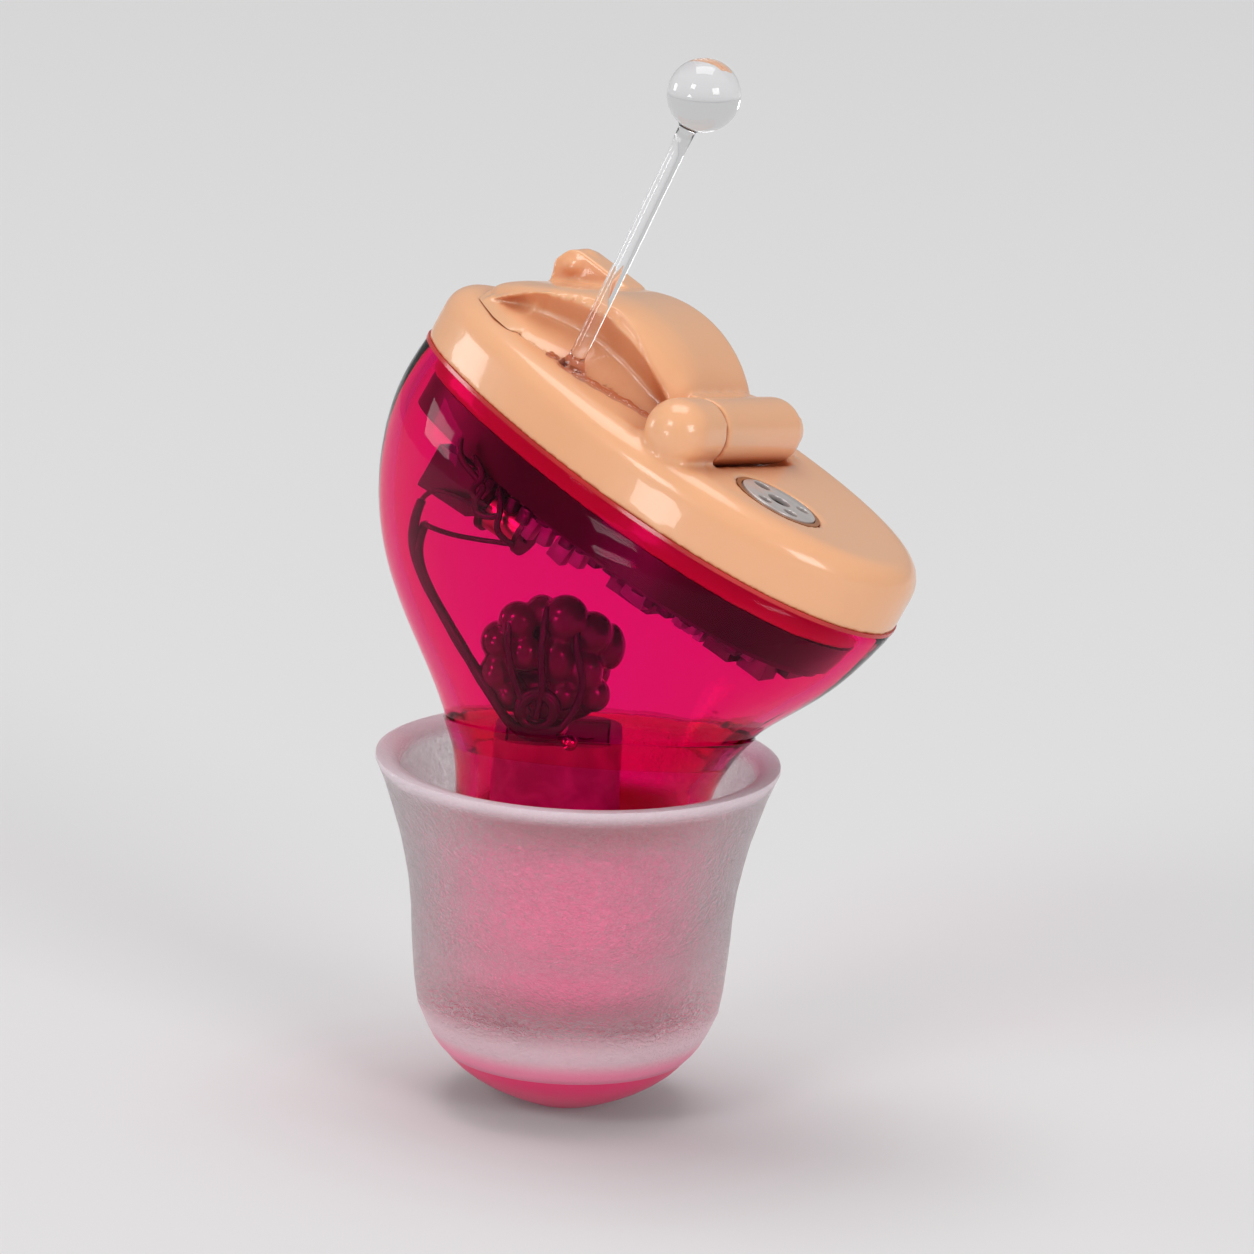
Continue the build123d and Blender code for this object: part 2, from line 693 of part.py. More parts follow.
def make_leads():
    """Two leads that leave the parts under the board, run down the shell's wall and end on the boot."""
    front = -receiver_size[1] / 2 - boot_wall - wire_radius
    socket_end = beside_receiver(socket_d - socket_size[0] / 2 - wire_radius, socket_h, socket_n)
    under_coil = beside_receiver(coil_d, coil_h, coil_n - coil_cheek_radius - wire_radius)
    foot = boot_top_z + lead_foot
    first = [socket_end, (-4.1, 0.0, 15.97), (-4.15, 0.0, 15.0), (-3.71, -0.2, 13.4),
             (-2.82, -0.9, 12.0), (-1.89, front, foot + 0.3), (-1.0, front, foot - 0.3), (-0.45, front, foot)]
    second = [under_coil, (-3.1, -1.3, 15.2), (-3.65, -0.7, 14.7), (-3.35, -0.7, 13.3), (-2.6, -1.2, 12.0),
              (-2.1, front, foot + 0.1), (-1.2, front, foot - 0.55), (-0.2, front, foot - 0.35)]
    return [make_wire(route, wire_radius) for route in (first, second)]


def make_solder(leads):
    """A bead where each lead ends on the boot."""
    front = -receiver_size[1] / 2 - boot_wall
    foot = boot_top_z + lead_foot
    beads = []
    for x, z in ((-0.45, foot), (-0.2, foot - 0.35)):
        bead = Pos(x, front, z) * Sphere(solder_radius)
        bead &= upright(x, front - 2, z - 1, z + 1, 4, 4)
        for lead in leads:
            bead -= lead
        beads.append(bead)
    return beads


def make_bead():
    """The clear strip of adhesive that runs from the pull cord's foot along the door's crease."""
    n = plate_height
    start, end = cord_d + bead_gap, hinge_d - knuckle_radius - bead_gap
    points = []
    for i, aside in enumerate(bead_wander):
        d = start + (end - start) * i / (len(bead_wander) - 1)
        points.append((d, cover_near_h - bead_radius - aside, n))
    bead = make_wire(points, bead_radius)
    return bead & Pos(0, 0, n + bead_radius) * Box(4 * face_half_length, 4 * face_half_length, 2 * bead_radius)


def export(shape, node):
    export_step(shape, f"parts/{node}.step")


def main():
    lining = shell_form(shell_wall + frame_gap / 3, nozzle_end_z + nozzle_floor)
    upper, lower = make_shells()
    export(upper, "upper_shell")
    export(lower, "nozzle_shell")
    bell, core = make_sleeve()
    export(bell, "sleeve_bell")
    export(core, "sleeve_core")
    export(make_wax_guard(), "wax_guard")
    export(make_faceplate(lining), "faceplate")
    export(seat(make_bond_line()), "bond_line")
    export(seat(make_door()), "battery_door")
    can, cap, gasket = make_cell()
    export(seat(can), "battery_can")
    export(seat(cap), "battery_cap")
    export(seat(gasket), "battery_gasket")
    export(seat(make_hinge_pin()), "hinge_pin")
    export(seat(make_contact(cell_near_h, -1)), "negative_contact")
    export(seat(make_contact(cell_far_h, 1)), "positive_contact")
    export(seat(make_microphone()), "microphone")
    export(seat(make_mic_seal()), "mic_seal")
    export(seat(make_mic_cover()), "mic_cover")
    export(make_frame(lining), "electronics_frame")
    export(seat(make_board()), "circuit_board")
    chip, amplifier, capacitors, window, steps = make_components()
    export(seat(chip), "sound_processor_chip")
    export(seat(amplifier), "amplifier_chip")
    export(seat(capacitors), "capacitors")
    export(seat(window), "tuning_ring")
    export(seat(steps), "memory_chips")
    bobbin, winding = make_coil()
    export(seat(bobbin), "telecoil_bobbin")
    export(seat(winding), "telecoil_winding")
    export(seat(make_programming_socket()), "programming_socket")
    turned = Rot(0, 0, receiver_turn)
    export(turned * make_receiver(), "receiver")
    export(turned * make_boot(), "receiver_boot")
    export(turned * make_terminals(), "receiver_terminals")
    export(turned * make_lobes(), "terminal_cover")
    export(make_sound_tube(), "sound_tube")
    leads = make_leads()
    export(turned * Compound(leads), "receiver_leads")
    export(turned * Compound(make_solder(leads)), "solder_beads")
    export(seat(make_bead()), "adhesive_bead")
    ball = lean_on_cord(Pos(0, 0, cord_length + ball_radius * 0.95) * Sphere(ball_radius))
    cord = lean_on_cord(Pos(0, 0, (cord_length - cord_sink) / 2) * Cylinder(cord_radius, cord_length + cord_sink))
    export(seat(cord - ball), "pull_cord")
    export(seat(ball), "pull_ball")
    collar = Cylinder(collar_radius, collar_height) - Cylinder(cord_radius, collar_height)
    collar = lean_on_cord(Pos(0, 0, collar_height / 2) * collar)
    above = slab(0, plate_height, 2 * plate_height)
    export(seat(collar & above), "cord_collar")


main()
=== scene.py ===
import json
import math
import random
import bmesh
import bpy
from mathutils import Matrix, Vector


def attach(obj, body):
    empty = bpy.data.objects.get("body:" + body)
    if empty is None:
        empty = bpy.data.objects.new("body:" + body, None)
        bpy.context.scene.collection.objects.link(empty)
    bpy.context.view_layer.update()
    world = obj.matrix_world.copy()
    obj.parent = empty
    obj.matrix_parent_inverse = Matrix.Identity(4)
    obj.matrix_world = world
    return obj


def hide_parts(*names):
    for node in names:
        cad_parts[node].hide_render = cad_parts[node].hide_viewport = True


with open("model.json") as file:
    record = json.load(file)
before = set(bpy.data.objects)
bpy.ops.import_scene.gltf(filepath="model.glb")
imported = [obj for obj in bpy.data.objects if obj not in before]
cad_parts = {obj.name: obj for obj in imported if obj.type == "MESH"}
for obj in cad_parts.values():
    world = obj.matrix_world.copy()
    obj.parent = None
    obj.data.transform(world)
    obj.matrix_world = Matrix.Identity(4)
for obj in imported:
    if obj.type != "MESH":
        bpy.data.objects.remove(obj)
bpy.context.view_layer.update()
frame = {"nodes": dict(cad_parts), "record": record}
scene = bpy.context.scene
mm = 0.001
print("frame loaded")

# The face's own directions, read from the door's hinge: d along it, h across it, n out of the ear
hinge = next(j for j in frame["record"]["behaviour"]["joints"] if j["type"] == "hinge")
faceAcross = Vector(hinge["axis"]).normalized()
faceAlong = Vector((faceAcross.z, 0, -faceAcross.x)).normalized()
if faceAlong.x < 0:
    faceAlong = -faceAlong
faceOut = faceAlong.cross(faceAcross).normalized()
hingeAt = {"d": 1.17, "n": 2.25}
faceOrigin = Vector(hinge["pos_m"]) - (faceAlong * hingeAt["d"] + faceOut * hingeAt["n"]) * mm
faceTurn = Matrix((faceAlong, faceAcross, faceOut)).transposed().to_4x4()
onFace = Matrix.Translation(faceOrigin) @ faceTurn @ Matrix.Scale(mm, 4)
# The receiver's frame is turned about the nozzle's axis, and the sleeve's is the part's own
neckTurn = 30.6
inNeck = Matrix.Rotation(math.radians(neckTurn), 4, "Z") @ Matrix.Scale(mm, 4)
onNozzle = Matrix.Scale(mm, 4)


# ways to make meshes: pieces are drawn in millimetres and then put in their place
def addPiece(name, mesh, body, finish, angle=None):
    mesh.materials.clear()
    mesh.materials.append(finish)
    mesh.polygons.foreach_set("use_smooth", [True] * len(mesh.polygons))
    if angle:
        mesh.set_sharp_from_angle(angle=math.radians(angle))
    mesh.name = name
    piece = bpy.data.objects.new(name, mesh)
    scene.collection.objects.link(piece)
    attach(piece, body)
    return piece


def meshOf(bm, place):
    mesh = bpy.data.meshes.new("drawn")
    bmesh.ops.recalc_face_normals(bm, faces=bm.faces)
    bm.to_mesh(mesh)
    bm.free()
    mesh.transform(place)
    return mesh


def join(bm, part, place):
    mesh = bpy.data.meshes.new("part")
    part.to_mesh(mesh)
    part.free()
    mesh.transform(place)
    bm.from_mesh(mesh)
    bpy.data.meshes.remove(mesh)


def block(size, edge):
    part = bmesh.new()
    bmesh.ops.create_cube(part, size=1)
    bmesh.ops.scale(part, vec=size, verts=part.verts)
    bmesh.ops.bevel(part, geom=part.edges, offset=edge, segments=2, profile=0.5, affect="EDGES", material=-1)
    return part


def egg(radii):
    part = bmesh.new()
    bmesh.ops.create_icosphere(part, subdivisions=3, radius=1)
    bmesh.ops.scale(part, vec=radii, verts=part.verts)
    return part


def turned(profile, steps, closed=True):
    part = bmesh.new()
    verts = [part.verts.new((radius, 0, z)) for radius, z in profile]
    for a, b in zip(verts, verts[1:] + verts[:1] if closed else verts[1:]):
        part.edges.new((a, b))
    bmesh.ops.spin(part, geom=part.verts[:] + part.edges[:], cent=(0, 0, 0), axis=(0, 0, 1),
                   angle=2 * math.pi, steps=steps, use_merge=True)
    bmesh.ops.remove_doubles(part, verts=part.verts, dist=1e-4)
    bmesh.ops.recalc_face_normals(part, faces=part.faces)
    return part


def moulded(bm, place, look, reshape=None):
    # solids flow into one soft skin, which reshape may then move point by point
    mesh = bpy.data.meshes.new("rough")
    bm.to_mesh(mesh)
    bm.free()
    holder = bpy.data.objects.new("rough", mesh)
    scene.collection.objects.link(holder)
    remesh = holder.modifiers.new("remesh", "REMESH")
    remesh.mode = "VOXEL"
    remesh.voxel_size = look["voxel"]
    smooth = holder.modifiers.new("smooth", "SMOOTH")
    smooth.factor = 0.5
    smooth.iterations = look["softness"]
    done = bpy.data.meshes.new_from_object(holder.evaluated_get(bpy.context.evaluated_depsgraph_get()))
    bpy.data.objects.remove(holder)
    bpy.data.meshes.remove(mesh)
    if reshape:
        bm = bmesh.new()
        bm.from_mesh(done)
        for vert in bm.verts:
            vert.co = reshape(vert.co)
        for _ in range(look["settle"]):
            bmesh.ops.smooth_vert(bm, verts=bm.verts, factor=0.5, use_axis_x=True, use_axis_y=True,
                                  use_axis_z=True)
        bm.to_mesh(done)
        bm.free()
    done.transform(place)
    return done


def solidsOf(*nodes):
    bm = bmesh.new()
    for node in nodes:
        bm.from_mesh(frame["nodes"][node].data)
    bmesh.ops.remove_doubles(bm, verts=bm.verts, dist=1e-7)
    bmesh.ops.scale(bm, vec=(1 / mm, 1 / mm, 1 / mm), verts=bm.verts)
    return bm


def meshOfCurve(curve):
    # the curve's own mesh; the curve is then dropped
    holder = bpy.data.objects.new("drawn", curve)
    scene.collection.objects.link(holder)
    mesh = bpy.data.meshes.new_from_object(holder.evaluated_get(bpy.context.evaluated_depsgraph_get()))
    bpy.data.objects.remove(holder)
    bpy.data.curves.remove(curve)
    return mesh


def strand(points, radius, place):
    curve = bpy.data.curves.new("route", "CURVE")
    curve.dimensions = "3D"
    curve.bevel_depth = radius * mm
    curve.bevel_resolution = 4
    curve.resolution_u = 10
    curve.use_fill_caps = True
    spline = curve.splines.new("NURBS")
    spline.points.add(len(points) - 1)
    for point, at in zip(spline.points, points):
        point.co = (*(place @ Vector(at)), 1)
    spline.order_u = 3
    spline.use_endpoint_u = True
    return meshOfCurve(curve)


def gather(meshes):
    bm = bmesh.new()
    for mesh in meshes:
        bm.from_mesh(mesh)
        bpy.data.meshes.remove(mesh)
    whole = bpy.data.meshes.new("gathered")
    bm.to_mesh(whole)
    bm.free()
    return whole


# shader helpers
def newMaterial(name):
    mat = bpy.data.materials.new(name)
    mat.use_nodes = True
    return mat, mat.node_tree.nodes["Principled BSDF"]


def objectNoise(mat, scale, detail, stretch=(1, 1, 1), distortion=0.0):
    nodes, links = mat.node_tree.nodes, mat.node_tree.links
    coord = nodes.new("ShaderNodeTexCoord")
    mapping = nodes.new("ShaderNodeMapping")
    mapping.inputs["Scale"].default_value = stretch
    noise = nodes.new("ShaderNodeTexNoise")
    noise.inputs["Scale"].default_value = scale
    noise.inputs["Detail"].default_value = detail
    noise.inputs["Distortion"].default_value = distortion
    links.new(coord.outputs["Object"], mapping.inputs["Vector"])
    links.new(mapping.outputs["Vector"], noise.inputs["Vector"])
    return noise


def addBump(mat, shader, height, strength, distance):
    nodes, links = mat.node_tree.nodes, mat.node_tree.links
    bump = nodes.new("ShaderNodeBump")
    bump.inputs["Strength"].default_value = strength
    bump.inputs["Distance"].default_value = distance
    links.new(height, bump.inputs["Height"])
    links.new(bump.outputs["Normal"], shader.inputs["Normal"])


def colourRamp(mat, factor, stops):
    ramp = mat.node_tree.nodes.new("ShaderNodeValToRGB")
    for element, (place, colour) in zip(ramp.color_ramp.elements, stops):
        element.position = place
        element.color = (*colour, 1)
    mat.node_tree.links.new(factor, ramp.inputs["Fac"])
    return ramp


def lampsThrough(mat, shader, tints):
    # light passes clear plastic, tinted, so that what is sealed in it is lit
    nodes, links = mat.node_tree.nodes, mat.node_tree.links
    path = nodes.new("ShaderNodeLightPath")
    surface = shader
    for ray, tint in tints:
        clear = nodes.new("ShaderNodeBsdfTransparent")
        clear.inputs["Color"].default_value = (*tint, 1)
        mix = nodes.new("ShaderNodeMixShader")
        links.new(path.outputs[ray], mix.inputs["Fac"])
        links.new(surface.outputs[0], mix.inputs[1])
        links.new(clear.outputs[0], mix.inputs[2])
        surface = mix
    links.new(surface.outputs[0], nodes["Material Output"].inputs["Surface"])


def milkyEnd(mat, look):
    # a clear piece turns milky towards one end: heights are in millimetres
    nodes, links = mat.node_tree.nodes, mat.node_tree.links
    output = nodes["Material Output"].inputs["Surface"]
    clear = output.links[0].from_socket
    coord = nodes.new("ShaderNodeTexCoord")
    split = nodes.new("ShaderNodeSeparateXYZ")
    links.new(coord.outputs["Object"], split.inputs["Vector"])
    share = nodes.new("ShaderNodeMapRange")
    share.interpolation_type = "SMOOTHSTEP"
    share.inputs["From Min"].default_value = look["to"] * mm
    share.inputs["From Max"].default_value = look["from"] * mm
    share.inputs["To Min"].default_value = 1 - look.get("share", 1)
    links.new(split.outputs["Z"], share.inputs["Value"])
    milk = nodes.new("ShaderNodeBsdfPrincipled")
    milk.inputs["Base Color"].default_value = (*look["colour"], 1)
    milk.inputs["Roughness"].default_value = look["roughness"]
    mix = nodes.new("ShaderNodeMixShader")
    links.new(share.outputs["Result"], mix.inputs["Fac"])
    links.new(milk.outputs[0], mix.inputs[1])
    links.new(clear, mix.inputs[2])
    links.new(mix.outputs[0], output)
    return mat


def shadeWhereLow(mat, share, colour):
    # mixes a painted shade colour into the finish where the share is low
    nodes, links = mat.node_tree.nodes, mat.node_tree.links
    base = nodes["Principled BSDF"].inputs["Base Color"]
    top = base.links[0].from_socket
    mix = nodes.new("ShaderNodeMix")
    mix.data_type = "RGBA"
    mix.inputs[6].default_value = (*colour, 1)
    links.new(share, mix.inputs[0])
    links.new(top, mix.inputs[7])
    links.new(mix.outputs[2], base)


def shadeBelowFace(mat, look):
    # what lies below the face at rest is tinted darker and browner with painted shade, as under the plate's
    # rim, the plate's skirt and the door's hoop alike: heights are out of the face, in millimetres
    nodes, links = mat.node_tree.nodes, mat.node_tree.links
    coord = nodes.new("ShaderNodeTexCoord")
    out = nodes.new("ShaderNodeVectorMath")
    out.operation = "DOT_PRODUCT"
    out.inputs[1].default_value = faceOut
    links.new(coord.outputs["Object"], out.inputs[0])
    zero = faceOrigin.dot(faceOut)
    share = nodes.new("ShaderNodeMapRange")
    share.inputs["From Min"].default_value = zero + look["to"] * mm
    share.inputs["From Max"].default_value = zero + look["from"] * mm
    links.new(out.outputs["Value"], share.inputs["Value"])
    shadeWhereLow(mat, share.outputs["Result"], look["colour"])
    return mat


def paintedHollowShade(mat, look):
    # painted shade: where ambient occlusion finds a hollow, the finish is darkened towards a deep orange
    nodes, links = mat.node_tree.nodes, mat.node_tree.links
    hollow = nodes.new("ShaderNodeAmbientOcclusion")
    hollow.inputs["Distance"].default_value = look["reach"] * mm
    hollow.samples = 8
    share = nodes.new("ShaderNodeMapRange")
    share.inputs["From Min"].default_value = look["deep"]
    share.inputs["From Max"].default_value = look["open"]
    links.new(hollow.outputs["AO"], share.inputs["Value"])
    shadeWhereLow(mat, share.outputs["Result"], look["colour"])
    return mat


def clearPlastic(name, look):
    mat, shader = newMaterial(name)
    nodes, links = mat.node_tree.nodes, mat.node_tree.links
    shader.inputs["Base Color"].default_value = (*look["colour"], 1)
    shader.inputs["Transmission Weight"].default_value = look.get("clear", 1.0)
    shader.inputs["IOR"].default_value = look["ior"]
    shader.inputs["Roughness"].default_value = look["roughness"]
    noise = objectNoise(mat, look["grain"], 2.0, look.get("stretch", (1, 1, 1)), look.get("distortion", 0.0))
    addBump(mat, shader, noise.outputs["Fac"], look["bump"], look["depth"] * mm)
    if "density" in look:
        absorb = nodes.new("ShaderNodeVolumeAbsorption")
        absorb.inputs["Color"].default_value = (*look["depthColour"], 1)
        absorb.inputs["Density"].default_value = look["density"]
        links.new(absorb.outputs["Volume"], nodes["Material Output"].inputs["Volume"])
    if "lampTint" in look:
        lampsThrough(mat, shader, [("Is Diffuse Ray", look.get("bounceTint", look["lampTint"])),
                                   ("Is Shadow Ray", look["lampTint"])])
    return mat


def solidFinish(name, look):
    mat, shader = newMaterial(name)
    noise = objectNoise(mat, look["grain"], 4.0, distortion=look.get("distortion", 0.0))
    ramp = colourRamp(mat, noise.outputs["Fac"], [(0.35, look["dark"]), (0.65, look["colour"])])
    mat.node_tree.links.new(ramp.outputs["Color"], shader.inputs["Base Color"])
    shader.inputs["Roughness"].default_value = look["roughness"]
    shader.inputs["Metallic"].default_value = look.get("metal", 0.0)
    shader.inputs["Specular IOR Level"].default_value = look.get("shine", 0.5)
    shader.inputs["Coat Weight"].default_value = look.get("coat", 0.0)
    shader.inputs["Coat Roughness"].default_value = look.get("coatRoughness", 0.05)
    shader.inputs["Subsurface Weight"].default_value = look.get("soft", 0.0)
    shader.inputs["Subsurface Radius"].default_value = (1.0, 0.5, 0.3)
    shader.inputs["Subsurface Scale"].default_value = look.get("softDepth", 0.4) * mm
    addBump(mat, shader, noise.outputs["Fac"], look.get("bump", 0.1), look.get("depth", 0.02) * mm)
    return mat


shellLook = {"colour": (1.0, 0.25, 0.57), "ior": 1.18, "roughness": 0.0, "grain": 250, "bump": 0.02,
             "depth": 0.05, "lampTint": (0.97, 0.93, 0.95), "bounceTint": (0.93, 0.88, 0.89),
             "density": 4300, "depthColour": (0.992, 0.02, 0.83)}
clearLook = {"colour": (0.97, 0.97, 0.98), "ior": 1.5, "roughness": 0.0, "grain": 300, "bump": 0.05,
             "depth": 0.03, "lampTint": (0.95, 0.95, 0.95)}
plateLook = {"colour": (0.93, 0.485, 0.26), "dark": (0.90, 0.455, 0.24), "grain": 160, "roughness": 0.3,
             "coat": 0.5, "coatRoughness": 0.05, "soft": 0.15, "softDepth": 0.5, "bump": 0.04, "depth": 0.05,
             "shine": 0.4}
frostLook = {"colour": (1.0, 0.97, 0.98), "ior": 1.25, "roughness": 0.14, "grain": 6500, "bump": 1.0,
             "depth": 0.16, "lampTint": (0.99, 0.975, 0.98), "bounceTint": (0.97, 0.95, 0.955),
             "clear": 0.88, "stretch": (1, 1, 1.3), "distortion": 1.2}
milkLook = {"colour": (0.90, 0.008, 0.21), "from": 8.0, "to": 7.2, "roughness": 0.5}
rimLook = {"colour": (0.98, 0.84, 0.91), "from": 8.5, "to": 9.0, "roughness": 0.4, "share": 0.6}
baseLook = {"colour": (0.98, 0.78, 0.86), "from": 3.1, "to": 2.2, "roughness": 0.4, "share": 0.5}
blushLook = {"colour": (0.95, 0.16, 0.34), "from": 2.1, "to": 1.55, "roughness": 0.4, "share": 0.75}
# painted shade in the hollows of the plate and door
hollowShadeLook = {"reach": 1.6, "colour": (0.52, 0.13, 0.045), "deep": 0.25, "open": 0.8}
capLook = {"colour": (0.90, 0.03, 0.17), "ior": 1.41, "roughness": 0.3, "grain": 2500, "bump": 0.2,
           "depth": 0.02, "clear": 0.1, "lampTint": (0.72, 0.62, 0.65), "bounceTint": (0.7, 0.62, 0.64)}
# painted shade below the face, for the skirt under the plate's rim
skirtShadeLook = {"colour": (0.60, 0.42, 0.085), "from": 0.03, "to": -0.07}


def frostedSilicone(name):
    mat = clearPlastic(name, frostLook)
    for look in (rimLook, baseLook, blushLook):
        milkyEnd(mat, look)
    return mat


# each plain finish: its name, light and dark colours, grain, roughness and what else it has
plainLooks = {
    "bond": ("red adhesive", (0.60, 0.03, 0.03), (0.42, 0.015, 0.02), 300, 0.15, {}),
    "steel": ("bright steel", (0.6, 0.6, 0.61), (0.5, 0.5, 0.51), 400, 0.25, {"metal": 1.0}),
    "cell_steel": ("nickel", (0.7, 0.69, 0.67), (0.6, 0.59, 0.57), 400, 0.25, {"metal": 1.0}),
    "gasket": ("gasket", (0.05, 0.05, 0.05), (0.03, 0.03, 0.03), 400, 0.5, {}),
    "contact": ("gilt spring", (0.85, 0.62, 0.28), (0.7, 0.5, 0.2), 400, 0.25, {"metal": 1.0}),
    "mic_case": ("dark mesh", (0.05, 0.025, 0.02), (0.02, 0.01, 0.01), 3000, 0.6, {}),
    "mic_seal": ("amber seal", (0.40, 0.15, 0.05), (0.22, 0.07, 0.02), 400, 0.3, {}),
    "mic_cover": ("silver cover", (0.68, 0.63, 0.61), (0.60, 0.55, 0.54), 1400, 0.28, {"metal": 0.4}),
    "frame": ("black moulding", (0.03, 0.012, 0.006), (0.012, 0.005, 0.003), 400, 0.3, {}),
    "board": ("circuit", (0.10, 0.02, 0.06), (0.05, 0.01, 0.03), 900, 0.4, {}),
    "chip": ("chip", (0.10, 0.05, 0.08), (0.05, 0.02, 0.04), 500, 0.25, {}),
    "capacitor": ("ceramic", (0.45, 0.3, 0.35), (0.3, 0.2, 0.25), 500, 0.3, {}),
    "copper": ("copper", (0.6, 0.3, 0.3), (0.4, 0.2, 0.2), 500, 0.3, {"metal": 1.0}),
    "boot": ("soft boot", (0.55, 0.24, 0.36), (0.36, 0.13, 0.22), 1500, 0.3, {"distortion": 0.5}),
    "lobes": ("dark red silicone", (0.13, 0.06, 0.08), (0.05, 0.02, 0.03), 500, 0.18, {"coat": 1.0}),
    "lead": ("enamelled wire", (0.05, 0.02, 0.04), (0.02, 0.01, 0.02), 500, 0.25, {}),
    "solder": ("solder", (0.5, 0.5, 0.5), (0.35, 0.35, 0.35), 500, 0.25, {"metal": 1.0}),
    "wax_guard": ("white moulding", (0.9, 0.9, 0.88), (0.85, 0.85, 0.83), 400, 0.4, {}),
}
finishes = {
    "shell": clearPlastic("tinted shell acrylic", shellLook),
    "nozzle": milkyEnd(clearPlastic("tinted nozzle acrylic", shellLook), milkLook),
    "clear": clearPlastic("clear nylon", clearLook),
    # the plate and door finish carries painted shade in its hollows and below the face
    "faceplate": shadeBelowFace(paintedHollowShade(solidFinish("skin tone acrylic", plateLook), hollowShadeLook), skirtShadeLook),
    "silicone": frostedSilicone("frosted silicone"),
    "core": clearPlastic("pink silicone", capLook),
}
for slot, (name, colour, dark, grain, roughness, more) in plainLooks.items():
    look = {"colour": colour, "dark": dark, "grain": grain, "roughness": roughness, **more}
    finishes[slot] = solidFinish(name, look)
slotOf = {part["node"]: part["material_slot"] for part in frame["record"]["subparts"]}
for node, piece in frame["nodes"].items():
    piece.data.materials.clear()
    piece.data.materials.append(finishes["nozzle" if node == "nozzle_shell" else slotOf[node]])
print("finishes given")

# the face: plate and door as soft mouldings, the door's hood with a scoop in its near side
plateMould = {"voxel": 0.075, "softness": 7, "settle": 4}
doorMould = {"voxel": 0.055, "softness": 9, "settle": 4}
faceToPart = Matrix.Scale(1 / mm, 4) @ onFace
partToFace = faceToPart.inverted()
# the hood, in the face's d, h and n: its base on the plate, its round top, and how its near side is reshaped
hood = {"base": 1.79, "axis": (-2.27, 0.47), "radius": 3.27, "slope": 25.0, "nearFace": -1.62,
        "nearRound": 0.8, "crownFrom": -0.1, "end": -5.3, "foot": 0.09, "tab": (-5.4, 2.05, 3.08),
        "tabSize": (0.56, 0.66, 0.5), "outerD": 6.29, "outerH": 2.3, "footBand": 0.07, "footTo": 0.6,
        "skin": (0.58, 0.44), "fadeIn": (-6.35, -6.05), "fadeOut": (0.2, -0.5), "endReach": 0.99,
        "endLeft": 0.22, "riseBy": 0.5, "risePower": 1.4, "curlFrom": 0.35,
        "footInset": 0.06, "seat": 0.03, "leastTop": 0.15, "leastCrest": 0.05}
hoodLine = {  # along d: how far across the foot, the scoop's back and the crest lie, and the crest's height
    "foot": [(-6.1, -1.08), (-5.6, -1.5), (-5.15, -1.84), (-4.7, -2.02), (-4.2, -2.1), (-3.25, -2.07),
             (-2.54, -1.92), (-2.16, -1.74), (-1.45, -1.45), (-0.9, -1.36), (0.2, -1.36)],
    "back": [(-6.1, -1.07), (-5.5, -1.05), (-5.1, -1.0), (-4.7, -1.14), (0.2, -1.14)],
    "crest": [(-6.1, -1.09), (-5.6, -1.36), (-5.0, -1.62), (-4.4, -1.76), (-2.4, -1.76), (-1.4, -1.6),
              (0.2, -1.42)],
    "height": [(-6.1, 1.81), (-5.7, 1.97), (-5.3, 2.28), (-4.9, 2.6), (-4.3, 2.95), (-3.5, 3.23),
               (-2.52, 3.35), (-1.77, 3.17), (-1.2, 2.92), (-0.35, 2.42), (0.2, 2.15)],
}


def ease(value, start, end):
    share = min(max((value - start) / (end - start), 0.0), 1.0)
    return share * share * (3 - 2 * share)


def along(line, d):
    for (a, low), (b, high) in zip(line, line[1:]):
        if d <= b:
            return low + (high - low) * min(max((d - a) / (b - a), 0.0), 1.0)
    return line[-1][1]


def hoodTop(d):
    slope = math.radians(hood["slope"])
    axisD, axisN = hood["axis"]
    meetD = axisD - hood["radius"] * math.sin(slope)
    if d < meetD:
        return axisN + hood["radius"] * math.cos(slope) + (d - meetD) * math.tan(slope)
    return axisN + math.sqrt(max(hood["radius"] ** 2 - (d - axisD) ** 2, 0.0))


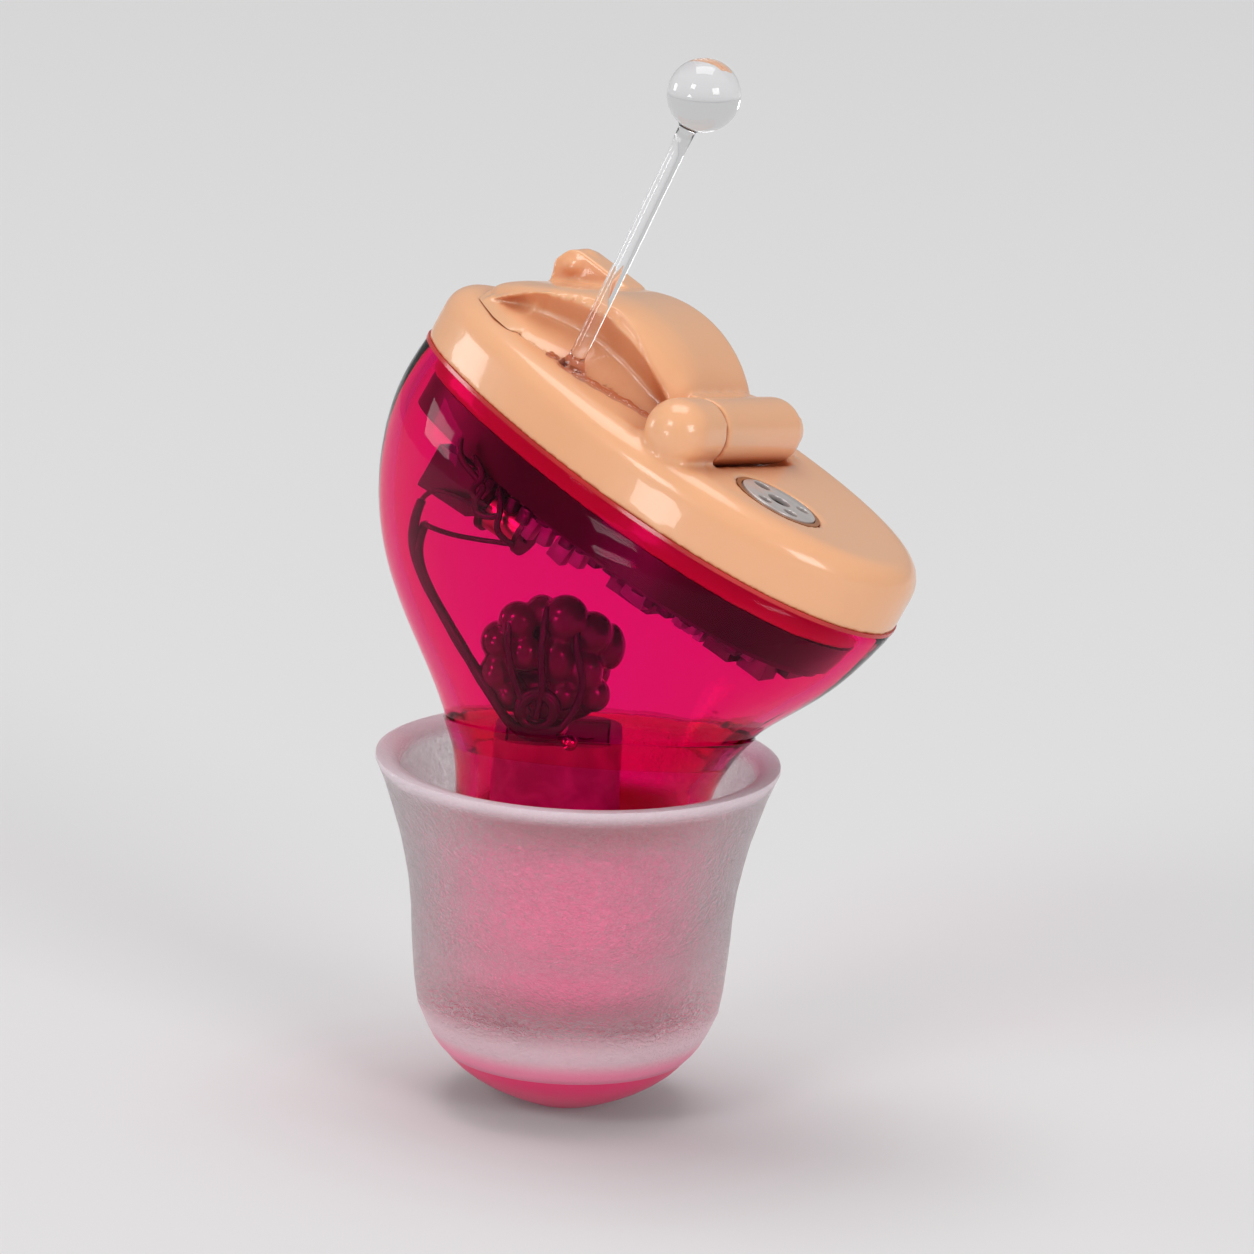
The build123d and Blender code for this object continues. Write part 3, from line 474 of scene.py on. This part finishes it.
def scoopHood(co):
    # co is a point of the moulded door: the near side of its hood is hollowed and its crest is drawn out
    d, h, n = (partToFace @ co).to_tuple()
    base = hood["base"]
    turn = math.acos(min(max(d / hood["outerD"], -1.0), 1.0))
    edgeH = max(hood["nearFace"], -hood["outerH"] * math.sin(turn))
    share = ease(d, *hood["fadeIn"]) * ease(d, *hood["fadeOut"])
    face = share * ease(h, edgeH + hood["skin"][0], edgeH + hood["skin"][1])
    if d < hood["footTo"] and abs(n - base) < hood["footBand"]:
        footH = along(hoodLine["foot"], d) - hood["footInset"]
        return faceToPart @ Vector((d, h + (footH - h) * face, base - hood["foot"]))
    if d < hood["end"] and n > base:
        reach = min((hood["end"] - d) / hood["endReach"], 1.0)
        n = base + (n - base) * (hood["endLeft"] + (1 - hood["endLeft"]) * math.sqrt(1 - reach * reach))
    if n < base - hood["seat"] or h > hood["crownFrom"] or share == 0:
        return faceToPart @ Vector((d, h, n))
    crestN, crestH = along(hoodLine["height"], d), along(hoodLine["crest"], d)
    footH, backH = along(hoodLine["foot"], d), along(hoodLine["back"], d)
    top = hoodTop(d)
    below = min(max(hood["nearFace"] + hood["nearRound"] - h, 0.0), hood["nearRound"])
    solidTop = top - hood["nearRound"] + math.sqrt(hood["nearRound"] ** 2 - below ** 2)
    solidTop = max(solidTop, base + hood["leastTop"])
    inward = min(max((h - crestH) / (hood["crownFrom"] - crestH), 0.0), 1.0)
    wanted = crestN + (top - crestN) * math.sqrt(1 - (1 - inward) ** 2)
    n += ((n - base) * (wanted - base) / (solidTop - base) + base - n) * share
    height = (n - base) / max(crestN - base, hood["leastCrest"])
    if height < 1:
        rise = 1 - (1 - min(max(height, 0.0) / hood["riseBy"], 1.0)) ** hood["risePower"]
        curl = max(height - hood["curlFrom"], 0.0) / (1 - hood["curlFrom"])
        wantedH = footH + (backH - footH) * rise + (crestH - backH) * curl * curl
        h += (wantedH - h) * face
    return faceToPart @ Vector((d, h, n))


plateFoot = {"from": 0.02, "to": 0.45, "full": 0.12, "drop": 0.075}


def closePlate(co):
    d, h, n = (partToFace @ co).to_tuple()
    if plateFoot["from"] < n < plateFoot["to"]:
        n -= plateFoot["drop"] * ease(n, plateFoot["to"], plateFoot["full"])
    return faceToPart @ Vector((d, h, n))


plateMesh = moulded(solidsOf("faceplate"), onNozzle, plateMould, closePlate)
plate = addPiece("faceplate_moulding", plateMesh, "aid", finishes["faceplate"])
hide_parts("faceplate")
bm = solidsOf("battery_door")
join(bm, egg(hood["tabSize"]), faceToPart @ Matrix.Translation(hood["tab"]))
doorMesh = moulded(bm, onNozzle, doorMould, scoopHood)
door = addPiece("battery_door_moulding", doorMesh, "door", finishes["faceplate"])
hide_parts("battery_door")
print("face moulded")

# microphone's cover: a thin bright disc with five holes; each is d, h from its middle, and radius
micCover = {"d": 3.6, "h": -1.25, "n": 1.705, "radius": 0.99, "half": 0.045, "edge": 0.02,
            "corners": 8,
            "holes": [(0, 0, 0.32), (-0.68, 0.27, 0.24), (-0.084, -0.66, 0.2), (0.46, 0.5, 0.19),
                      (0.56, -0.38, 0.21)]}


def holedDisc(look, place):
    curve = bpy.data.curves.new("disc", "CURVE")
    curve.dimensions = "2D"
    curve.fill_mode = "BOTH"
    curve.extrude, curve.bevel_depth, curve.bevel_resolution = look["half"], look["edge"], 2
    curve.resolution_u = 12
    for x, y, radius in [(0, 0, look["radius"] - look["edge"])] + look["holes"]:
        spline = curve.splines.new("BEZIER")
        spline.bezier_points.add(look["corners"] - 1)
        for i, point in enumerate(spline.bezier_points):
            turn = 2 * math.pi * i / look["corners"]
            point.co = (x + radius * math.cos(turn), y + radius * math.sin(turn), 0)
            point.handle_left_type = point.handle_right_type = "AUTO"
        spline.use_cyclic_u = True
    bm = bmesh.new()
    bm.from_mesh(meshOfCurve(curve))
    bmesh.ops.remove_doubles(bm, verts=bm.verts, dist=1e-4)
    return meshOf(bm, place @ Matrix.Translation((look["d"], look["h"], look["n"])))


disc = addPiece("microphone_cover_disc", holedDisc(micCover, onFace), "aid",
                finishes["mic_cover"], 35)
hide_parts("mic_cover")
print("microphone cover cut")

# pull handle: a clear cord with a foot and a ball, spun about its own line
handle = {"d": -2.56, "h": -2.1, "n": 1.75, "lean": 3.0, "cord": 0.2, "length": 6.75, "ball": 0.91,
          "foot": 0.38, "sink": 0.45, "footTop": 0.5, "rings": 12, "ballRings": 28, "steps": 64}


def handleProfile():
    profile = [(0.0, -handle["sink"]), (handle["cord"], -handle["sink"]), (handle["cord"], -0.05),
               (handle["foot"], 0.0), (handle["foot"], 0.1), (handle["foot"] - 0.05, 0.17),
               (handle["cord"] + 0.07, 0.22), (handle["cord"] + 0.02, 0.34),
               (handle["cord"], handle["footTop"])]
    for i in range(1, handle["rings"]):
        profile.append((handle["cord"], handle["footTop"] + (handle["length"] - 0.75) * i / handle["rings"]))
    centre = handle["length"] + handle["ball"] * 0.95
    profile.append((handle["cord"] + 0.03, handle["length"] - 0.06))
    start = math.asin((handle["cord"] + 0.1) / handle["ball"])
    for i in range(handle["ballRings"] + 1):
        turn = start + (math.pi - start) * i / handle["ballRings"]
        profile.append((max(handle["ball"] * math.sin(turn), 0.0), centre - handle["ball"] * math.cos(turn)))
    return profile


onCord = onFace @ Matrix.Translation((handle["d"], handle["h"], handle["n"])) \
    @ Matrix.Rotation(math.radians(-handle["lean"]), 4, "Y")
handleMesh = meshOf(turned(handleProfile(), handle["steps"], closed=False), onCord)
pull = addPiece("pull_handle", handleMesh, "aid", finishes["clear"])
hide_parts("pull_cord", "pull_ball", "cord_collar")
print("pull handle spun")

# sleeve: bell and pink cap, spun from their profiles, as radius and height
sleeveSteps = 96
bellOuter = [(3.13, 1.35), (3.3, 1.53), (3.44, 1.72), (3.62, 2.05), (3.84, 2.55), (3.93, 3.1), (4.0, 3.8),
             (4.05, 4.4), (4.08, 5.0), (4.17, 5.75), (4.3, 6.4), (4.44, 7.0), (4.63, 7.6), (4.86, 8.3),
             (5.06, 8.78)]
bellRim = [(5.12, 8.9), (5.11, 9.0), (5.0, 9.04), (4.8, 9.0), (4.6, 8.93), (4.53, 8.82)]
bellInner = [(4.42, 8.45), (4.3, 8.05), (4.13, 7.6), (3.95, 7.0), (3.8, 6.4), (3.68, 5.75), (3.55, 5.1),
             (3.38, 4.7), (3.2, 4.4), (3.09, 4.2), (3.08, 4.1), (3.02, 3.7), (2.82, 3.25), (2.52, 2.92),
             (2.42, 2.83), (2.42, 2.57), (2.4, 2.55), (0.72, 2.55), (0.7, 2.53), (0.7, 1.37), (0.72, 1.35)]
sleeveMesh = meshOf(turned(bellOuter + bellRim + bellInner, sleeveSteps), onNozzle)
sleeve = addPiece("sleeve_moulding", sleeveMesh, "sleeve", finishes["silicone"], 50)
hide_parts("sleeve_bell")
capProfile = [(0.7, 0.02), (0.75, 0.0), (1.05, 0.05), (1.4, 0.19), (1.8, 0.37), (2.15, 0.55), (2.5, 0.77),
              (2.8, 1.0), (3.0, 1.2), (3.13, 1.35), (3.1, 1.35), (0.72, 1.35), (0.7, 1.33)]
cap = addPiece("sleeve_cap_moulding", meshOf(turned(capProfile, sleeveSteps), onNozzle), "sleeve",
               finishes["core"], 50)
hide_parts("sleeve_core")
print("sleeve spun")

# receiver's cover: closed fingers over a palm, as centre and radii, with wires that run down them
lobeMould = {"voxel": 0.06, "softness": 2}
palm = [(-0.75, 0.1, 11.55, 1.55, 0.9, 1.4), (-0.75, -0.2, 10.8, 1.35, 0.9, 0.8)]
fingers = [(-2.02, -0.8, 12.2, 0.50, 0.6, 0.52), (-1.58, -1.0, 12.78, 0.50, 0.5, 0.5),
           (-1.02, -0.7, 12.98, 0.42, 0.5, 0.42), (-0.42, -1.0, 12.9, 0.58, 0.55, 0.6),
           (0.25, -0.8, 12.5, 0.52, 0.55, 0.55), (0.68, -0.5, 12.1, 0.42, 0.5, 0.60),
           (-2.05, -0.95, 11.4, 0.48, 0.5, 0.55), (-1.38, -1.15, 12.0, 0.46, 0.42, 0.5),
           (-0.62, -1.15, 11.85, 0.50, 0.42, 0.62), (0.12, -1.0, 11.6, 0.46, 0.5, 0.6),
           (-1.72, -1.0, 10.9, 0.45, 0.5, 0.45), (-0.45, -1.1, 10.95, 0.45, 0.4, 0.4),
           (0.35, -0.85, 10.95, 0.42, 0.45, 0.45)]
bm = bmesh.new()
for x, y, z, *radii in palm + fingers:
    join(bm, egg(radii), Matrix.Translation((x, y, z)))
cover = addPiece("terminal_lobes", moulded(bm, inNeck, lobeMould), "aid", finishes["lobes"])
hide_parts("terminal_cover")

ring = {"centre": (-1.03, -1.62, 10.68), "radius": 0.5, "wire": 0.13, "turns": 1.6, "closing": 0.25,
        "forward": 0.05, "steps": 19}
ringPoints = []
for i in range(ring["steps"] + 1):
    turn = 2 * math.pi * ring["turns"] * i / ring["steps"]
    x, y, z = ring["centre"]
    reach = ring["radius"] * (1 - ring["closing"] * i / ring["steps"])
    forward = ring["forward"] * i / ring["steps"]
    ringPoints.append((x + reach * math.cos(turn), y - forward, z + reach * math.sin(turn)))
wireRadius = {"finger": 0.09, "trunk": 0.11, "branch": 0.065, "hook": 0.08}
fingerWires = [
    [(-1.75, -1.2, 13.1), (-1.84, -1.5, 12.6), (-1.76, -1.62, 11.9), (-1.55, -1.66, 11.2),
     (-1.25, -1.68, 10.6)],
    [(-0.85, -1.2, 13.2), (-0.97, -1.55, 12.7), (-0.98, -1.68, 11.9), (-0.9, -1.7, 11.2),
     (-1.05, -1.7, 10.5)],
    [(-0.1, -1.1, 12.9), (-0.15, -1.5, 12.4), (0.02, -1.5, 11.7), (0.1, -1.45, 11.2), (-0.2, -1.6, 10.5),
     (-0.5, -1.68, 10.2)],
]
wires = [strand(points, wireRadius["finger"], inNeck) for points in fingerWires]
wires.append(strand(ringPoints, ring["wire"], inNeck))
addPiece("finger_wires", gather(wires), "aid", finishes["lead"])

# leads: long wires down the shell's left wall, and short ones from the parts under the board
trunk = [
    [(-4.05, 0.0, 15.5), (-4.2, 0.0, 15.1), (-4.22, 0.0, 14.3), (-3.9, -0.1, 13.4), (-3.2, -0.6, 12.4),
     (-2.45, -1.2, 11.4), (-1.75, -1.6, 10.3), (-1.1, -1.72, 10.08), (-0.45, -1.7, 10.25)],
    [(-3.95, 0.1, 14.9), (-4.1, 0.0, 14.5), (-4.05, -0.1, 13.9), (-3.75, -0.2, 13.2), (-3.05, -0.7, 12.1),
     (-2.3, -1.3, 11.1), (-1.6, -1.65, 10.15), (-1.0, -1.75, 9.95), (-0.55, -1.7, 10.1)],
]
upper = [(-4.05, 0.0, 15.5), (-3.95, -0.3, 15.75), (-3.62, -0.8, 15.98), (-3.2, -1.3, 15.95),
         (-2.75, -1.7, 15.85), (-2.38, -2.0, 15.65)]
lower = [(-3.95, 0.1, 14.9), (-3.98, -0.3, 15.0), (-3.8, -0.9, 15.05), (-3.3, -1.3, 14.98),
         (-2.6, -1.8, 15.0), (-1.9, -2.0, 14.98)]
leadMeshes = [strand(points, wireRadius["trunk"], inNeck) for points in trunk]
leadMeshes += [strand(points, wireRadius["branch"], inNeck) for points in (upper, lower)]
leads = addPiece("receiver_lead_set", gather(leadMeshes), "aid", finishes["lead"])
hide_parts("receiver_leads")
loops = [
    [(-4.0, -2.45, -1.2), (-3.85, -2.6, -1.4), (-3.55, -2.65, -1.6), (-2.95, -2.7, -1.72),
     (-2.72, -2.7, -1.8), (-2.8, -2.7, -2.15), (-2.63, -2.7, -2.42),
     (-2.3, -2.7, -2.38), (-2.05, -2.65, -2.16)],
    [(-2.6, -2.3, -1.55), (-2.3, -2.65, -1.7), (-2.05, -2.7, -2.1), (-1.98, -2.7, -2.42),
     (-1.74, -2.65, -2.6), (-1.44, -2.55, -2.62)],
    [(-3.5, -2.35, -1.4), (-3.1, -2.65, -1.45), (-2.85, -2.75, -1.6), (-3.02, -2.75, -1.95),
     (-2.8, -2.7, -2.2), (-2.5, -2.6, -2.15)],
]
hookMesh = gather([strand(points, wireRadius["hook"], onFace) for points in loops])
addPiece("hook_wires", hookMesh, "aid", finishes["lead"])
print("wires run")

# small parts under the board, beside the near wall: centre d, h, n, then length, width, depth and turn
board = {"under": -1.7, "near": -2.5, "reach": 6.7}
darkPart = {"count": 19, "first": -3.3, "pitch": 0.44, "jitter": 0.06, "depth": (0.16, 0.42),
            "length": (0.22, 0.4), "width": 0.5, "turn": 6, "shallowFrom": 3.6, "shallow": 0.6,
            "inset": 0.15, "wander": 0.12, "wave": 1.3, "sink": 0.05}
partEdge = 0.05
random.seed(7)


def smallParts(name, rows, slot):
    bm = bmesh.new()
    for d, h, n, length, width, depth, turn in rows:
        place = Matrix.Translation((d, h, n)) @ Matrix.Rotation(math.radians(turn), 4, "Y")
        join(bm, block((length, width, depth), partEdge), place)
    addPiece(name, meshOf(bm, onFace), "aid", finishes[slot], 40)


darkRows = []
for i in range(darkPart["count"]):
    d = darkPart["first"] + darkPart["pitch"] * i + random.uniform(-darkPart["jitter"], darkPart["jitter"])
    depth = random.uniform(*darkPart["depth"]) * (1 if d < darkPart["shallowFrom"] else darkPart["shallow"])
    wall = board["near"] * math.sqrt(1 - (d / board["reach"]) ** 2)
    h = wall + darkPart["inset"] + darkPart["wander"] * math.sin(i * darkPart["wave"])
    n = board["under"] - depth / 2 + darkPart["sink"]
    length = random.uniform(*darkPart["length"])
    turn = random.uniform(-darkPart["turn"], darkPart["turn"])
    darkRows.append((d, h, n, length, darkPart["width"], depth, turn))
smallParts("small_dark_parts", darkRows, "chip")
paleRows = [(-1.35, -2.3, -2.05, 0.42, 0.4, 0.55, 8), (-0.85, -2.3, -2.0, 0.3, 0.4, 0.5, -5),
            (-0.35, -2.2, -2.1, 0.5, 0.4, 0.62, 10), (0.15, -2.2, -2.0, 0.34, 0.4, 0.5, 0),
            (1.95, -2.2, -1.93, 0.72, 0.5, 0.42, 6), (3.2, -1.95, -1.9, 0.24, 0.4, 0.36, 0),
            (3.55, -1.9, -1.88, 0.24, 0.4, 0.32, 0), (4.35, -1.6, -1.84, 0.4, 0.4, 0.26, 0),
            (4.9, -1.35, -1.8, 0.3, 0.5, 0.22, 0)]
smallParts("small_pale_parts", paleRows, "capacitor")
print("parts under the board set")

# clear adhesive: a chain of drops along the door's crease and a small loop at the cord's foot
drops = [(-2.17, -2.31, 0.20), (-1.95, -2.22, 0.15), (-1.75, -2.22, 0.19), (-1.52, -2.12, 0.14),
         (-1.28, -2.06, 0.19), (-1.08, -1.92, 0.14), (-0.9, -1.86, 0.18), (-0.67, -1.82, 0.13),
         (-0.42, -1.8, 0.15), (-3.1, -2.05, 0.12), (-3.26, -1.95, 0.1), (-3.2, -2.2, 0.1)]
drop = {"n": 1.77, "long": 1.15, "flat": 0.7}
dropMould = {"voxel": 0.03, "softness": 3}
bm = bmesh.new()
for d, h, radius in drops:
    shape = egg((radius * drop["long"], radius, radius * drop["flat"]))
    join(bm, shape, Matrix.Translation((d, h, drop["n"])))
beads = addPiece("adhesive_drops", moulded(bm, onFace, dropMould), "aid", finishes["clear"])
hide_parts("adhesive_bead")
print("adhesive laid")

# camera
view = {"elevation": 14.5, "azimuth": 30.576, "roll": 2.5, "right": 1.6076, "up": 11.9935, "back": 189.43,
        "lens": 213.1}
elevation, azimuth, roll = (math.radians(view[k]) for k in ("elevation", "azimuth", "roll"))
back = Vector((math.sin(azimuth) * math.cos(elevation), -math.cos(azimuth) * math.cos(elevation),
               math.sin(elevation)))
level = Vector((math.cos(azimuth), math.sin(azimuth), 0))
rise = back.cross(level)
right = level * math.cos(roll) + rise * math.sin(roll)
up = rise * math.cos(roll) - level * math.sin(roll)
camera = bpy.data.objects.new("camera", bpy.data.cameras.new("camera"))
scene.collection.objects.link(camera)
camera.data.lens = view["lens"]
camera.data.sensor_width = 36
camera.data.clip_start = 0.005
turn = Matrix((right, up, back)).transposed().to_4x4()
place = (right * view["right"] + up * view["up"] + back * view["back"]) * mm
camera.matrix_world = Matrix.Translation(place) @ turn
scene.camera = camera
scene.view_settings.view_transform = "Standard"


# floor and light: directions are to the camera's right, up and back
lampAim = Vector((0, 0, 0.012))


def areaLight(name, direction, distance, size, power):
    lamp = bpy.data.lights.new(name, "AREA")
    lamp.shape = "RECTANGLE"
    lamp.size, lamp.size_y = size
    lamp.energy = power
    piece = bpy.data.objects.new(name, lamp)
    scene.collection.objects.link(piece)
    x, y, z = Vector(direction).normalized()
    spot = lampAim + (right * x + up * y + back * z) * distance
    piece.location = spot
    piece.rotation_euler = (lampAim - spot).to_track_quat("-Z", "Y").to_euler()


areaLight("key", (-0.52, 0.39, 0.73), 0.6, (0.16, 0.15), 0.6)
areaLight("card", (-0.72, -0.07, 0.69), 0.6, (0.14, 0.08), 0.3)
areaLight("left", (-0.92, 0.30, -0.24), 0.6, (0.14, 0.14), 0.35)
areaLight("front", (0.60, 0.16, 0.79), 0.6, (0.22, 0.20), 1.0)
areaLight("top", (0.05, 1.0, 0.15), 0.7, (0.5, 0.4), 2.2)

light = {"world": 0.33, "mirror": 0.42, "seen": 0.69}
world = bpy.data.worlds.new("studio")
world.use_nodes = True
scene.world = world
nodes, links = world.node_tree.nodes, world.node_tree.links
ambient = nodes["Background"]
ambient.inputs["Strength"].default_value = light["world"]
ambient.inputs["Color"].default_value = (1, 1, 1, 1)
path = nodes.new("ShaderNodeLightPath")
layers = ambient
rays = (("Is Glossy Ray", "mirror"), ("Is Transmission Ray", "seen"), ("Is Camera Ray", "seen"))
for ray, strength in rays:
    other = nodes.new("ShaderNodeBackground")
    other.inputs["Strength"].default_value = light[strength]
    mix = nodes.new("ShaderNodeMixShader")
    links.new(path.outputs[ray], mix.inputs["Fac"])
    links.new(layers.outputs[0], mix.inputs[1])
    links.new(other.outputs[0], mix.inputs[2])
    layers = mix
links.new(layers.outputs[0], nodes["World Output"].inputs["Surface"])

ground = {"half": 0.5, "gap": 0.02, "colour": (0.81, 0.805, 0.81), "roughness": 0.8, "shine": 0.2}
bm = bmesh.new()
bmesh.ops.create_grid(bm, x_segments=1, y_segments=1, size=ground["half"])
bmesh.ops.translate(bm, verts=bm.verts, vec=(0, 0, -ground["gap"] * mm))
mesh = bpy.data.meshes.new("floor")
bm.to_mesh(mesh)
bm.free()
floor = bpy.data.objects.new("floor", mesh)
scene.collection.objects.link(floor)
floorMat, shader = newMaterial("pale floor")
shader.inputs["Base Color"].default_value = (*ground["colour"], 1)
shader.inputs["Roughness"].default_value = ground["roughness"]
shader.inputs["Specular IOR Level"].default_value = ground["shine"]
floor.data.materials.append(floorMat)
print("stage set")
